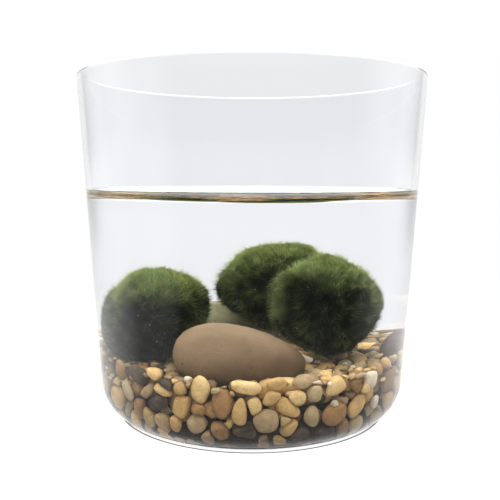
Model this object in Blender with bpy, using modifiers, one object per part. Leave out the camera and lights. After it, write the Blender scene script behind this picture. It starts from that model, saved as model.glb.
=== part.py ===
"""Marimo moss balls in a straight glass jar: three green balls, stones and pea gravel under water.

Metres, +Z up, origin at the centre of the jar's foot. The front of the jar faces -Y.
"""

import math
import random

import bmesh
import bpy
from mathutils import Matrix, Vector, noise
from mathutils.bvhtree import BVHTree

MM = 0.001

# Jar: a plain tumbler form that narrows slightly to a rounded foot.
RIM_RADIUS = 62.5 * MM
JAR_HEIGHT = 121.7 * MM
CORNER_RADIUS = 56.2 * MM  # outside radius where the foot's curve begins
CORNER_HEIGHT = 13.7 * MM
CORNER_WIDTH = 11.4 * MM
WALL = 2.2 * MM
FLOOR = 3.0 * MM

# Water: it climbs the wall by the meniscus of wetted glass.
WATER_LEVEL = 78.7 * MM
WATER_BOTTOM = 27.2 * MM  # just over the highest gravel
MENISCUS = 3.4 * MM
CAPILLARY_LENGTH = 2.73 * MM

# Gravel: a core with pebbles fused to it, as deep as the bed seen through the glass.
CORE_TOP = 22.4 * MM
CORE_INSET = 5.4 * MM  # from the glass: room for one layer of pebbles
CORE_HEIGHTS = (6.0 * MM, 9.5 * MM, 14.0 * MM)
CORE_SEGMENTS = 24
ROW_HEIGHTS = (7.5 * MM, 14.5 * MM, 21.0 * MM)  # of the fused pebbles at the glass
ROW_COUNT = 16  # places in each row
ROW_SHIFT = 2.0  # degrees
ROW_TURN = 30.0  # degrees that a pebble may lie from level
ROW_SIZE = ((12.0, 16.0), (8.0, 8.0), (7.5, 9.0))  # least and most length, thickness, width
TOP_COUNT = 34
TOP_REACH = 45.0 * MM  # from the jar's axis
TOP_SIZE = ((12.0, 15.0), (9.0, 11.0), (6.0, 8.4))
TOP_SLOPE = 0.045  # the bed lies lower towards the front
# Pebbles heaped under the back ball, which rests on them: centre and size.
HEAPED = [((4.0, 13.0, 24.4), (14.0, 11.0, 9.0)), ((13.0, 27.0, 24.6), (14.0, 11.0, 9.6))]
LUMP_CLEARANCE = 0.6 * MM  # of the fused pebbles from the glass, beyond the gap
LUMP_ROUGHNESS = 0.12  # of a pebble's half size
COVERED_SHARE = 0.75  # of a ball's or stone's half width, within which it hides the gravel
GRAVEL_SEED = 21

GAP = 0.3 * MM  # between pieces that touch
GLASS_GAP = 0.7 * MM  # from pebbles to the true curve of the glass, whose facets stand inside it
BALL_CLEARANCE = 1.0 * MM  # of the hollows under the moss balls, whose facets are coarser
STONE_CLEARANCE = 0.5 * MM  # of the hollows under the stones
SEGMENTS = 40  # round the jar
CORNER_STEPS = 4
LIP_STEPS = 3

# Moss balls: centre, half sizes, tilt about Y, seed. Each rests in the gravel or leans on a stone.
MOSS_BALLS = {
    "moss_ball_left": ((-29.3, -12.6, 39.4), (22.0, 18.6, 16.9), -40, 3),
    "moss_ball_right": ((21.5, -16.2, 43.6), (18.9, 18.6, 19.9), -28, 8),
    "moss_ball_back": ((7.0, 20.6, 46.6), (19.5, 17.6, 19.2), 18, 14),
}
MOSS_LUMP = 1.3 * MM
MOSS_LUMP_SIZE = 13.0 * MM

# The three stones larger than gravel: centre, full size, tilt, form, seed, flats and finish.
# A flat is a point and the direction it faces, in the stone's own axes and in millimetres.
STONES = {
    "large_pebble": ((-3.6, -33.6, 27.8), (41.0, 24.6, 23.6), (0, 9, 0), "egg", 5, [], "pebble"),
    "dark_pebble": ((43.6, -4.6, 24.0), (15.4, 23.0, 16.4), (0, -14, 8), "round", 9, [], "dark"),
    "slate_stone": (
        (-9.5, 34.0, 28.9),
        (36.0, 24.0, 27.0),
        (0, 0, -8),
        "bar",
        12,
        [((0, 0, 10.0), (-0.04, 0.0, 1.0)), ((5.9, -6.1, 3.0), (0.55, -0.45, 0.70))],
        "slate",
    ),
}
STONE_ROUGHNESS = 0.04

# Pebbles pressed against the front of the glass, from left to right: position round the wall in
# degrees from the front, height of the centre, length, width, thickness, turn of the long side
# from level (counterclockwise, seen from outside), form and stone.
WALL_PEBBLES = [
    (-43.0, 22.0, 11.0, 6.2, 4.8, -14, "round", "slate"),
    (-43.4, 10.6, 7.2, 5.2, 4.6, 80, "round", "brown"),
    (-35.0, 23.8, 6.4, 3.4, 4.2, -18, "bar", "cream"),
    (-34.0, 14.6, 8.4, 6.0, 4.8, 30, "round", "slate"),
    (-31.6, 19.4, 8.0, 3.2, 4.0, -24, "bar", "cream"),
    (-27.0, 8.4, 6.0, 4.2, 4.0, 75, "round", "tan"),
    (-24.4, 14.6, 7.8, 4.8, 4.4, 82, "chip", "tan"),
    (-17.0, 20.4, 9.6, 6.0, 4.8, 112, "round", "cream"),
    (-17.8, 14.6, 4.6, 4.2, 4.0, 0, "round", "brown"),
    (-19.0, 8.6, 7.0, 5.6, 4.8, 30, "round", "greybrown"),
    (-10.8, 7.6, 7.0, 6.2, 4.6, 100, "round", "brown"),
    (-9.4, 17.4, 12.4, 6.6, 4.8, 99, "drop", "brown"),
    (-1.6, 22.2, 10.8, 3.8, 4.2, -5, "bar", "cream"),
    (-4.0, 15.2, 9.2, 3.8, 4.0, 88, "bar", "tan"),
    (1.0, 16.6, 5.8, 4.6, 4.0, 95, "round", "cream"),
    (-2.4, 7.6, 8.6, 5.2, 4.2, -10, "round", "slate"),
    (5.0, 11.8, 8.6, 7.6, 4.8, 0, "round", "greybrown"),
    (6.4, 19.2, 6.4, 4.2, 4.0, 14, "round", "tan"),
    (7.8, 23.4, 7.4, 3.4, 4.2, 8, "round", "tan"),
    (12.0, 15.6, 9.6, 5.2, 4.6, -34, "round", "tan"),
    (13.0, 7.8, 6.0, 4.6, 4.0, 20, "round", "tan"),
    (15.4, 18.8, 5.4, 4.4, 4.0, 20, "round", "cream"),
    (17.2, 23.6, 6.4, 4.0, 4.2, 10, "round", "greybrown"),
    (21.6, 19.4, 6.2, 5.0, 4.0, 80, "round", "grey"),
    (20.8, 12.4, 7.2, 4.8, 4.0, 95, "drop", "grey"),
    (30.2, 20.8, 8.0, 6.2, 4.6, 22, "round", "cream"),
    (29.6, 11.6, 9.0, 7.2, 4.2, 10, "round", "brown"),
    (40.2, 12.6, 9.4, 5.8, 4.6, 38, "round", "tan"),
    (46.4, 20.6, 6.8, 6.0, 4.4, 85, "chip", "white"),
]
FRONT_ARC = 59.0  # degrees each side of the front that are left to those pebbles
SMALLEST_SCALE = 0.6  # a pebble may shrink to this share of its size to clear its neighbours
SCALE_STEP = 0.03
WALL_PEBBLE_ROUGHNESS = 0.1

# sRGB colours as seen in daylight, and roughness.
FINISHES = {
    "moss": ((38, 62, 22), 0.95),
    "pebble": ((158, 134, 112), 0.55),
    "dark": ((92, 80, 80), 0.6),
    "slate": ((84, 80, 76), 0.6),
    "gravel": ((160, 130, 94), 0.6),
    "cream": ((216, 190, 144), 0.5),
    "tan": ((192, 158, 108), 0.5),
    "brown": ((152, 118, 86), 0.55),
    "greybrown": ((150, 130, 108), 0.55),
    "grey": ((150, 142, 122), 0.55),
    "white": ((222, 212, 194), 0.5),
}


def linear(value):
    """The linear-light value of one sRGB channel from 0 to 255."""
    value /= 255
    return value / 12.92 if value <= 0.04045 else ((value + 0.055) / 1.055) ** 2.4


def finish(name):
    """The material of this name, made once."""
    if name in bpy.data.materials:
        return bpy.data.materials[name]
    material = bpy.data.materials.new(name)
    material.use_nodes = True
    shader = material.node_tree.nodes["Principled BSDF"]
    if name in ("glass", "water"):
        shader.inputs["Base Color"].default_value = (1.0, 1.0, 1.0, 1.0)
        shader.inputs["Transmission Weight"].default_value = 1.0
        shader.inputs["IOR"].default_value = 1.5 if name == "glass" else 1.333
        shader.inputs["Roughness"].default_value = 0.0
    else:
        colour, roughness = FINISHES[name]
        shader.inputs["Base Color"].default_value = (*map(linear, colour), 1.0)
        shader.inputs["Roughness"].default_value = roughness
    shader.inputs["Metallic"].default_value = 0.0
    return material


def outer_radius(z):
    """The jar's outside radius at a height above the foot's curve."""
    share = (z - CORNER_HEIGHT) / (JAR_HEIGHT - CORNER_HEIGHT)
    return CORNER_RADIUS + (RIM_RADIUS - CORNER_RADIUS) * share


def corner(width, height, radius, steps):
    """The foot's quarter ellipse, from the flat floor up to the wall, height measured from its floor."""
    points = []
    for step in range(steps + 1):
        angle = math.pi / 2 * step / steps
        points.append((radius - width + width * math.sin(angle), height * (1 - math.cos(angle))))
    return points


def inside_profile(inset, top):
    """The jar's inside from the middle of its floor to the wall at a height, moved inwards by an inset."""
    radius = CORNER_RADIUS - WALL - inset
    floor = FLOOR + inset
    width = CORNER_WIDTH - 0.3 * WALL - 0.5 * inset
    curve = corner(width, CORNER_HEIGHT - floor, radius, CORNER_STEPS)
    points = [(0.0, floor)] + [(r, floor + z) for r, z in curve]
    points.append((outer_radius(top) - WALL - inset, top))
    return points


def turned(name, profile, smooth=True, segments=SEGMENTS):
    """A solid turned from a profile of (radius, height) points that ends on the axis at both ends."""
    mesh = bpy.data.meshes.new(name)
    points = [(r, 0.0, z) for r, z in profile]
    mesh.from_pydata(points, [(i, i + 1) for i in range(len(points) - 1)], [])
    obj = bpy.data.objects.new(name, mesh)
    screw = obj.modifiers.new("turn", "SCREW")
    screw.angle = 2 * math.pi
    screw.steps = segments
    screw.render_steps = segments
    screw.use_merge_vertices = True
    screw.merge_threshold = 0.00001
    screw.use_smooth_shade = smooth
    return obj


def from_bmesh(name, form):
    mesh = bpy.data.meshes.new(name)
    form.to_mesh(mesh)
    form.free()
    return bpy.data.objects.new(name, mesh)


def shade(obj, angle=40):
    obj.data.shade_smooth()
    obj.data.set_sharp_from_angle(angle=math.radians(angle))


def shaped(point, form):
    """A point of the unit sphere moved onto one of the pebble forms."""
    x, y, z = point
    fullness = {"round": 2.3, "bar": 3.0, "chip": 4.0}.get(form, 2.0)
    taper = 1.0 - {"egg": 0.2, "drop": 0.3}.get(form, 0.0) * x
    size = sum(abs(value) ** fullness for value in point) ** (1 / fullness)
    return Vector((x, y * taper, z * taper)) / size


def stone_mesh(size, form, seed, level, rough, grow=0.0):
    """A closed pebble of a full size (length, thickness, width), its surface moved by smooth noise."""
    body = bmesh.new()
    bmesh.ops.create_icosphere(body, subdivisions=level, radius=1.0)
    half = Vector(size) / 2
    for vertex in body.verts:
        sway = noise.noise(vertex.co * 1.1 + Vector((seed * 3.7, seed * 1.3, 0.0)))
        point = shaped(vertex.co, form) * (1.0 + rough * sway)
        vertex.co = Vector(point[i] * (half[i] + grow) for i in range(3))
    return body


def wall_frame(degrees, height):
    """The inside wall's point, outward normal and upward tangent at a place round the jar."""
    step = 0.2 * MM
    low, high = inside_radius(height - step), inside_radius(height + step)
    slope = Vector((high - low, 2 * step)).normalized()
    turn = math.radians(degrees)
    outward = Vector((math.sin(turn), -math.cos(turn), 0.0))
    point = outward * inside_radius(height) + Vector((0.0, 0.0, height))
    up = outward * slope.x + Vector((0.0, 0.0, slope.y))
    return point, outward * slope.y - Vector((0.0, 0.0, slope.x)), up


def inside_radius(z):
    """The jar's inside radius at a height."""
    if z >= CORNER_HEIGHT:
        return outer_radius(z) - WALL
    width = CORNER_WIDTH - 0.3 * WALL
    drop = min(1.0, (CORNER_HEIGHT - z) / (CORNER_HEIGHT - FLOOR))
    return CORNER_RADIUS - WALL - width + width * math.sqrt(1 - drop * drop)


def against_wall(degrees, height, thickness, turn):
    """The placement of a pebble whose flat side leans on the glass."""
    point, outward, up = wall_frame(degrees, height)
    aside = up.cross(outward)
    centre = point - outward * (thickness / 2 + GLASS_GAP)
    axes = Matrix((aside, -outward, up)).transposed().to_4x4()
    return Matrix.Translation(centre) @ axes @ Matrix.Rotation(math.radians(-turn), 4, "Y")


def combine(target, other, operation, self_crossing=False):
    boolean = target.modifiers.new(operation.lower(), "BOOLEAN")
    boolean.operation = operation
    boolean.object = other
    boolean.solver = "EXACT"
    boolean.use_self = self_crossing


def add(obj, collection, material=None):
    collection.objects.link(obj)
    if material:
        obj.data.materials.clear()
        obj.data.materials.append(finish(material))
    else:
        obj.hide_render = True
        obj.display_type = "WIRE"
    return obj


def glass_jar(parts):
    lip = WALL / 2
    lip_height = JAR_HEIGHT - lip
    profile = inside_profile(0.0, lip_height)
    middle = profile[-1][0] + lip
    for step in range(1, LIP_STEPS + 1):
        angle = math.pi * step / LIP_STEPS
        profile.append((middle - lip * math.cos(angle), lip_height + lip * math.sin(angle)))
    foot = corner(CORNER_WIDTH, CORNER_HEIGHT, CORNER_RADIUS, CORNER_STEPS)
    profile += foot[::-1] + [(0.0, 0.0)]
    return add(turned("glass_jar", profile), parts, "glass")


def meniscus(radius):
    """The water's surface from the middle to the wall, rising as a liquid does on wetted glass."""
    def away(rise):
        share = rise / CAPILLARY_LENGTH
        return CAPILLARY_LENGTH * (math.acosh(2 / share) - math.sqrt(4 - share * share))

    rises = [MENISCUS * share for share in (0.03, 0.12, 0.3, 0.6, 1.0)]
    points = [(radius - away(rise) + away(MENISCUS), WATER_LEVEL + rise) for rise in rises]
    return [(0.0, WATER_LEVEL)] + points


def water(parts, cutters, pockets):
    top = WATER_LEVEL + MENISCUS
    wall = outer_radius(top) - WALL - GAP
    profile = meniscus(wall)
    profile += [(outer_radius(WATER_BOTTOM) - WALL - GAP, WATER_BOTTOM), (0.0, WATER_BOTTOM)]
    body = add(turned("water", profile), parts, "water")
    add(pockets, cutters)
    combine(body, pockets, "DIFFERENCE", self_crossing=True)
    return body


def moss_ball(parts, name):
    """A slightly lumpy ball, no larger than its half sizes."""
    centre, half, tilt, seed = MOSS_BALLS[name]
    ball = bmesh.new()
    bmesh.ops.create_uvsphere(ball, u_segments=18, v_segments=12, radius=1.0)
    for vertex in ball.verts:
        place = Vector(vertex.co[i] * half[i] * MM for i in range(3))
        lump = 0.5 + 0.9 * noise.noise(place / MOSS_LUMP_SIZE + Vector((seed, 0.0, seed)))
        vertex.co = place * (1 - MOSS_LUMP * max(0.0, min(1.0, lump)) / place.length)
    obj = from_bmesh(name, ball)
    obj.location = Vector(centre) * MM
    obj.rotation_euler.y = math.radians(tilt)
    shade(obj, 60)
    return add(obj, parts, "moss")


def cut_flat(form, point, normal):
    """Cuts a flat face on a stone, taking off what lies beyond a plane."""
    everything = form.verts[:] + form.edges[:] + form.faces[:]
    cut = bmesh.ops.bisect_plane(
        form, geom=everything, plane_co=point, plane_no=normal, clear_outer=True
    )
    edges = [item for item in cut["geom_cut"] if isinstance(item, bmesh.types.BMEdge)]
    bmesh.ops.triangle_fill(form, edges=edges, use_beauty=True)


def stone(name, grow=0.0):
    centre, size, tilt, form, seed, flats, _ = STONES[name]
    level = 3 if name == "large_pebble" else 2
    body = stone_mesh(Vector(size) * MM, form, seed, level, STONE_ROUGHNESS, grow)
    for point, normal in flats:
        facing = Vector(normal).normalized()
        cut_flat(body, Vector(point) * MM + facing * grow, facing)
    bmesh.ops.recalc_face_normals(body, faces=body.faces)
    bmesh.ops.triangulate(body, faces=body.faces)
    obj = from_bmesh(name, body)
    obj.location = Vector(centre) * MM
    obj.rotation_euler = [math.radians(angle) for angle in tilt]
    shade(obj, 35)
    return obj


def pebble_form(index, scale, grow=0.0):
    """A wall pebble's mesh in its place, at a share of its size."""
    degrees, height, length, width, thick, turn, form, _ = WALL_PEBBLES[index]
    size = Vector((length, thick, width)) * MM * scale
    body = stone_mesh(size, form, index, 2, WALL_PEBBLE_ROUGHNESS, grow)
    body.transform(against_wall(degrees, height * MM, size.y, turn))
    return body


def inside_glass(body):
    """Whether every corner of a mesh keeps the gap to the glass."""
    return all(
        vertex.co.z > FLOOR + GAP
        and math.hypot(vertex.co.x, vertex.co.y) < inside_radius(vertex.co.z) - 2 * GAP
        for vertex in body.verts
    )


def wall_pebbles(parts):
    """The pebbles at the front, the largest placed first, each as large as its neighbours allow."""
    placed = []
    order = sorted(range(len(WALL_PEBBLES)), key=lambda index: -WALL_PEBBLES[index][2])
    for index in order:
        scale = 1.0
        while scale > SMALLEST_SCALE:
            grown = BVHTree.FromBMesh(pebble_form(index, scale, GAP))
            crowded = any(grown.overlap(other) for other in placed)
            if inside_glass(pebble_form(index, scale)) and not crowded:
                break
            scale -= SCALE_STEP
        body = pebble_form(index, scale)
        placed.append(BVHTree.FromBMesh(body))
        degrees, height, _, _, thick, turn, _, colour = WALL_PEBBLES[index]
        place = against_wall(degrees, height * MM, thick * MM * scale, turn)
        body.transform(place.inverted())
        obj = from_bmesh(f"pebble_{index + 1:02d}", body)
        obj.matrix_world = place
        shade(obj)
        add(obj, parts, colour)


def joined(name, objects):
    """One mesh object made of copies of these objects' meshes, in world space."""
    whole = bmesh.new()
    for obj in objects:
        obj.data.transform(obj.matrix_basis)
        whole.from_mesh(obj.data)
        bpy.data.objects.remove(obj)
    return from_bmesh(name, whole)


def swollen_ball(name):
    """A plain ball that clears a moss ball all over."""
    centre, half, tilt, _ = MOSS_BALLS[name]
    ball = bmesh.new()
    bmesh.ops.create_uvsphere(ball, u_segments=14, v_segments=9, radius=1.0)
    scale = Matrix.Diagonal([value * MM + BALL_CLEARANCE for value in half] + [1.0])
    turn = Matrix.Rotation(math.radians(tilt), 4, "Y")
    ball.transform(Matrix.Translation(Vector(centre) * MM) @ turn @ scale)
    return from_bmesh("clear_ball", ball)


def large_pieces():
    """The moss balls and stones, each grown by its clearance, as one cutter's pieces."""
    pieces = [swollen_ball(name) for name in MOSS_BALLS]
    return pieces + [stone(name, STONE_CLEARANCE) for name in STONES]


def covered(spot):
    """Whether a moss ball or a large stone takes up this spot of the gravel's top."""
    halves = [(centre, half) for centre, half, _, _ in MOSS_BALLS.values()]
    halves += [(values[0], [side / 2 for side in values[1]]) for values in STONES.values()]
    for centre, half in halves:
        reach = math.hypot((spot.x / MM - centre[0]) / half[0], (spot.y / MM - centre[1]) / half[1])
        if reach < COVERED_SHARE:
            return True
    return False


def lump(draw, placement, size):
    """One pebble of the bed, still to be fused to it."""
    obj = from_bmesh("lump", stone_mesh(size, "round", draw.randrange(99), 1, LUMP_ROUGHNESS))
    obj.matrix_world = placement
    return obj


def drawn_size(draw, ranges):
    return Vector(draw.uniform(least, most) for least, most in ranges) * MM


def side_pebbles(draw):
    """Rows of pebbles along the glass, round the sides and the back."""
    for row, height in enumerate(ROW_HEIGHTS):
        for place in range(ROW_COUNT):
            share = (place + 0.5 * (row % 2)) / ROW_COUNT
            degrees = 360 * share + draw.uniform(-ROW_SHIFT, ROW_SHIFT) - 180
            size = drawn_size(draw, ROW_SIZE)
            turn = draw.uniform(-ROW_TURN, ROW_TURN)
            if abs(degrees) > FRONT_ARC:
                thickness = size.y + 2 * LUMP_CLEARANCE
                yield lump(draw, against_wall(degrees, height, thickness, turn), size)


def top_pebbles(draw):
    """Pebbles spread evenly over the top of the bed, left out under what lies on it."""
    for place in range(TOP_COUNT):
        reach = TOP_REACH * math.sqrt((place + 0.5) / TOP_COUNT)
        angle = place * math.pi * (3 - math.sqrt(5))
        spot = Vector((reach * math.cos(angle), reach * math.sin(angle), CORE_TOP))
        spot.z += TOP_SLOPE * min(0.0, spot.y)
        size = drawn_size(draw, TOP_SIZE)
        turn = Matrix.Rotation(draw.uniform(0, math.pi), 4, "Z")
        if not covered(spot):
            yield lump(draw, Matrix.Translation(spot) @ turn, size)


def heaped_pebbles(grow=0.0):
    for seed, (centre, size) in enumerate(HEAPED):
        body = stone_mesh(Vector(size) * MM, "round", seed, 1, LUMP_ROUGHNESS, grow)
        body.transform(Matrix.Translation(Vector(centre) * MM))
        yield from_bmesh("lump", body)


def fused_pebbles():
    draw = random.Random(GRAVEL_SEED)
    return list(side_pebbles(draw)) + list(top_pebbles(draw)) + list(heaped_pebbles())


def core_profile():
    """The core's outline, one pebble's thickness inside the glass, from its top down to the floor."""
    outline = [(0.0, CORE_TOP)]
    for height in (CORE_TOP,) + CORE_HEIGHTS[::-1]:
        point, outward, _ = wall_frame(0.0, height)
        corner_point = point - outward * CORE_INSET
        outline.append((-corner_point.y, min(corner_point.z, CORE_TOP)))
    base = FLOOR + GAP
    return outline + [(CORNER_RADIUS - WALL - CORNER_WIDTH, base), (0.0, base)]


def gravel_bed(parts, cutters):
    """The bed of gravel, with a socket for each piece that lies in it."""
    bed = add(turned("gravel_bed", core_profile(), False, CORE_SEGMENTS), parts, "gravel")
    lumps = add(joined("gravel_lumps", fused_pebbles()), cutters)
    combine(bed, lumps, "UNION", self_crossing=True)
    sockets = joined("sockets", large_pieces())
    combine(bed, add(sockets, cutters), "DIFFERENCE", self_crossing=True)
    return bed


def clear_scene():
    for obj in list(bpy.data.objects):
        bpy.data.objects.remove(obj)


def collections():
    parts = bpy.data.collections.new("marimo_jar")
    cutters = bpy.data.collections.new("cutters")
    for collection in (parts, cutters):
        bpy.context.scene.collection.children.link(collection)
    cutters.hide_render = True
    return parts, cutters


def main():
    clear_scene()
    parts, cutters = collections()
    glass_jar(parts)
    for name in MOSS_BALLS:
        moss_ball(parts, name)
    for name, values in STONES.items():
        add(stone(name), parts, values[-1])
    wall_pebbles(parts)
    gravel_bed(parts, cutters)
    water(parts, cutters, joined("pockets", large_pieces() + list(heaped_pebbles(STONE_CLEARANCE))))


main()
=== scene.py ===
"""Looks of the marimo jar: clear glass, still water, velvety moss and loose gravel in soft light.

Metres, +Z up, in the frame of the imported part. The camera stands in front of the jar, towards -Y.
"""

import math
from collections import namedtuple

import bmesh
import bpy
import numpy as np
from mathutils import Matrix, Vector, noise
from mathutils.bvhtree import BVHTree


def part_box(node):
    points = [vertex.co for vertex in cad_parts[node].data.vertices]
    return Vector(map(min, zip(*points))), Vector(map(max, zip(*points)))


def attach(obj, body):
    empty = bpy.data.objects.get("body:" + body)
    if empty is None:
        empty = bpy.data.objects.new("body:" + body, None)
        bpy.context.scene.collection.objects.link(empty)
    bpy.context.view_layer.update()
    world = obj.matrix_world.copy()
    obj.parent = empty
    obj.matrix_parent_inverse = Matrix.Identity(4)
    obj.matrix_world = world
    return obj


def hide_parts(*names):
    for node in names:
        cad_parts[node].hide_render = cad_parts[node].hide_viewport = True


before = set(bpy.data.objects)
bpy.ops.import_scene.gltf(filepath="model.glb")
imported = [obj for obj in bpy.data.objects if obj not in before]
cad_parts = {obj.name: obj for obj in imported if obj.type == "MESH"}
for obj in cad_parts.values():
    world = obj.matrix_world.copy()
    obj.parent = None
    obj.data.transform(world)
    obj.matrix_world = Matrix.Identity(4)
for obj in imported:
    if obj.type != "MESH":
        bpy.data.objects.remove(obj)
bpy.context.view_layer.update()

MM = 0.001

# Camera: where the photograph was taken from.
CAMERA_PLACE = (0.0, -261.5 * MM, 87.5 * MM)
CAMERA_LENS = 50.4
CAMERA_SENSOR = 36.0
CAMERA_PITCH = 6.22  # degrees down
CAMERA_YAW = 0.14
CAMERA_ROLL = 0.14

# Light: a white room, brightest above and behind the jar, and dim low down where the camera stands.
SIDE_LIGHT = 0.65  # above the horizon, and 1 below it
SIDE_RISE = (-0.06, 0.02)  # height of the direction, where the light starts to change and where it ends
BACK_EDGE = np.cos(np.radians((46, 29)))  # of the angle from straight behind the jar
LOW_LIGHT = 1.3  # far below the horizon
LOW_RISE = (-0.3, -0.14)
TOP_LIGHT = 3.05
TOP_RISE = (0.14, 0.46)
LAMP_LIGHT = 8.0  # overhead
LAMP_RISE = (0.93, 0.975)
FRONT_LIGHT = 0.11
WINDOW_LIGHT = 0.62  # at the left, which the glass reflects in front of the left ball
WINDOW_WAY = (-0.93, -0.33, -0.16)
WINDOW_EDGE = np.cos(np.radians((24, 8)))
NEAR_LIGHT = 0.45  # from the table in front of the jar
NEAR_RISE = (-0.42, -0.28)
FRONT_WAY = (0.06, -0.88, -0.47)
FRONT_EDGE = np.cos(np.radians((105, 60)))
FRONT_RISE = (0.02, 0.24)
HAZE = 0.08  # how much dimmer the wall of the room is straight behind the jar's mouth
HAZE_RISE = (0.0, 0.09)
HAZE_FALL = (0.145, 0.168)
HAZE_EDGE = (0.16, 0.23)  # to the left and right
FLOOR_PAINTED_GLOW = 0.9  # painted light: a glow of the white table in a ring round the foot
FLOOR_RING = (45.0 * MM, 45.6 * MM, 48.4 * MM, 48.9 * MM)  # fades in over the first two
FLOOR_TONE = 0.5
FLOOR_RADIUS = 49.6 * MM
WHITE = (1.0, 1.0, 1.0, 1.0)

# Jar and water, as in the part.
RIM_RADIUS = 62.5 * MM
JAR_HEIGHT = 121.7 * MM
CORNER_RADIUS = 56.2 * MM
CORNER_HEIGHT = 13.7 * MM
CORNER_WIDTH = 11.4 * MM
WALL = 2.2 * MM
FLOOR = 3.0 * MM
INSIDE_CORNER_WIDTH = CORNER_WIDTH - 0.3 * WALL
WATER_LEVEL = 78.7 * MM
MENISCUS = 3.4 * MM
MENISCUS_STEPS = 16
CAPILLARY_LENGTH = 2.73 * MM
WATER_INSET = 0.03 * MM  # the water's own skin, just inside the glass
JAR_SEGMENTS = 192
CORNER_STEPS = 20
LIP_STEPS = 16
LIP_FULLNESS = 0.6  # 1 is a half circle, and less is a flatter lip with rounded edges
WALL_STEPS = 24
GLASS_WAVE = 0.02 * MM  # unevenness of the wall
GLASS_INDEX = 1.5
WATER_INDEX = 1.333
UNDER_WATER_SHEEN = 0.1  # of a stone's surface, which shines less against water than against air

# Moss: a velvet of fine threads, combed into soft tufts, on a dense, lumpy heart.
MOSS_NODES = {"moss_left": "moss_ball_left", "moss_right": "moss_ball_right", "moss_back": "moss_ball_back"}
THREADS = 150000
THREAD_WIDTH = 0.17 * MM
THREAD_LENGTH = (0.8 * MM, 4.8 * MM)
FELT_LENGTH = 0.2  # of the short threads, as a share of that range
LONG_SHARE = 0.115  # of threads that stand out from the felt
THREAD_SPREAD = 0.2  # how far single threads lean
TUFTS = [(5.0 * MM, 0.35), (2.2 * MM, 0.3)]  # size of tufts that lean together, and how far they lean
TUFT_SIZE = 2.6 * MM  # of the tufts of longer, lighter threads
HEART_DEPTH = 2.3 * MM  # below the reach of the longest threads
LUMPS = [(7.0 * MM, 0.65 * MM), (3.0 * MM, 0.6 * MM)]  # size and depth
PAINTED_LIGHT_RISE = (0.28, 0.95)  # height of the direction where the moss starts to get painted light, and is lightest
HEART_LEVEL = 5
# Hollows and swellings of a ball: direction from its middle, depth and half width in millimetres.
MOSS_DENTS = {
    "moss_left": [
        ((-0.62, -0.25, 0.74), 0.9, 2.6),
        ((0.5, -0.6, 0.6), 0.5, 4.0),
        ((0.44, -0.1, 0.88), 1.5, 6.0),
        ((-0.93, -0.1, 0.37), 2.4, 6.5),
        ((-0.3, -0.1, 0.95), -0.9, 8.0),
        ((0.08, -0.1, 0.99), -0.5, 5.0),
    ],
    "moss_right": [
        ((0.86, -0.1, 0.51), 0.6, 5.0),
        ((1.0, -0.1, 0.0), -0.9, 7.0),
        ((0.5, -0.1, 0.86), -0.4, 5.0),
        ((-0.56, -0.5, 0.66), 1.7, 2.0),
        ((-0.6, -0.58, 0.55), 1.5, 2.2),
        ((-0.63, -0.64, 0.43), 1.3, 2.2),
        ((-0.65, -0.69, 0.3), 1.2, 2.2),
        ((-0.67, -0.72, 0.16), 1.1, 2.2),
        ((-0.68, -0.73, 0.02), 1.0, 2.2),
        ((-0.67, -0.72, -0.14), 0.9, 2.2),
        ((-0.65, -0.69, -0.3), 0.8, 2.2),
        ((-0.42, -0.44, 0.79), -0.8, 2.4),
        ((-0.86, -0.42, 0.34), -0.9, 3.4),
        ((-0.9, -0.42, 0.0), -0.7, 3.4),
    ],
    "moss_back": [
        ((0.48, -0.1, 0.87), -1.0, 4.5),
        ((0.1, -0.3, 0.95), 0.7, 3.0),
        ((-0.3, -0.7, 0.6), 0.4, 4.0),
        ((-0.84, -0.1, 0.54), 2.0, 7.0),
        ((-0.42, -0.1, 0.9), 0.8, 6.0),
    ],
}
CREASE_WIDTH = 3.4  # of the widest hollow that gets painted shade inside, or swelling that gets painted light
# Painted light and shade on the moss, with some of its own mottling: direction from the ball's middle, change
# of tone and half width in millimetres.
MOSS_PAINTED_LIGHT = {
    "moss_left": [
        ((-0.2, -0.6, 0.8), 0.2, 14.0),
        ((-0.75, -0.4, 0.55), 0.35, 7.0),
        ((0.3, -0.9, 0.0), -0.1, 8.0),
    ],
    "moss_right": [
        ((-0.42, -0.75, 0.52), -0.35, 6.0),
        ((-0.25, -0.95, 0.2), -0.2, 8.0),
        ((-0.48, -0.4, 0.78), 0.45, 2.4),
        ((-0.88, -0.42, 0.30), 0.3, 4.0),
        ((-0.92, -0.38, -0.05), 0.25, 4.0),
        ((0.75, -0.45, 0.5), 0.15, 6.0),
        ((0.97, -0.1, 0.1), 0.3, 6.0),
    ],
    "moss_back": [
        ((-0.9, -0.35, 0.25), 0.25, 6.0),
        ((-0.7, -0.2, 0.7), 0.2, 8.0),
        ((0.0, -0.75, 0.6), -0.15, 7.0),
        ((0.5, -0.7, -0.1), -0.2, 8.0),
    ],
}
# Linear colours of a thread from root to tip, where the moss is painted shaded and where it is painted lit.
PAINTED_SHADED_MOSS = [(0.0, (0.005, 0.007, 0.004)), (0.5, (0.044, 0.055, 0.031)), (1.0, (0.19, 0.23, 0.12))]
PAINTED_LIT_MOSS = [(0.0, (0.10, 0.13, 0.045)), (0.5, (0.32, 0.39, 0.18)), (1.0, (0.66, 0.74, 0.47))]
OLIVE = (1.12, 1.0, 0.92, 1.0)  # of the browner patches
THROUGH = (1.4, 1.45, 0.95, 1.0)  # tint of light that comes through a thread
TRANSLUCENCE = 0.56
SPECKS = 18  # pale grains caught in each ball
SPECK_RADIUS = (0.1 * MM, 0.26 * MM)

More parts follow.
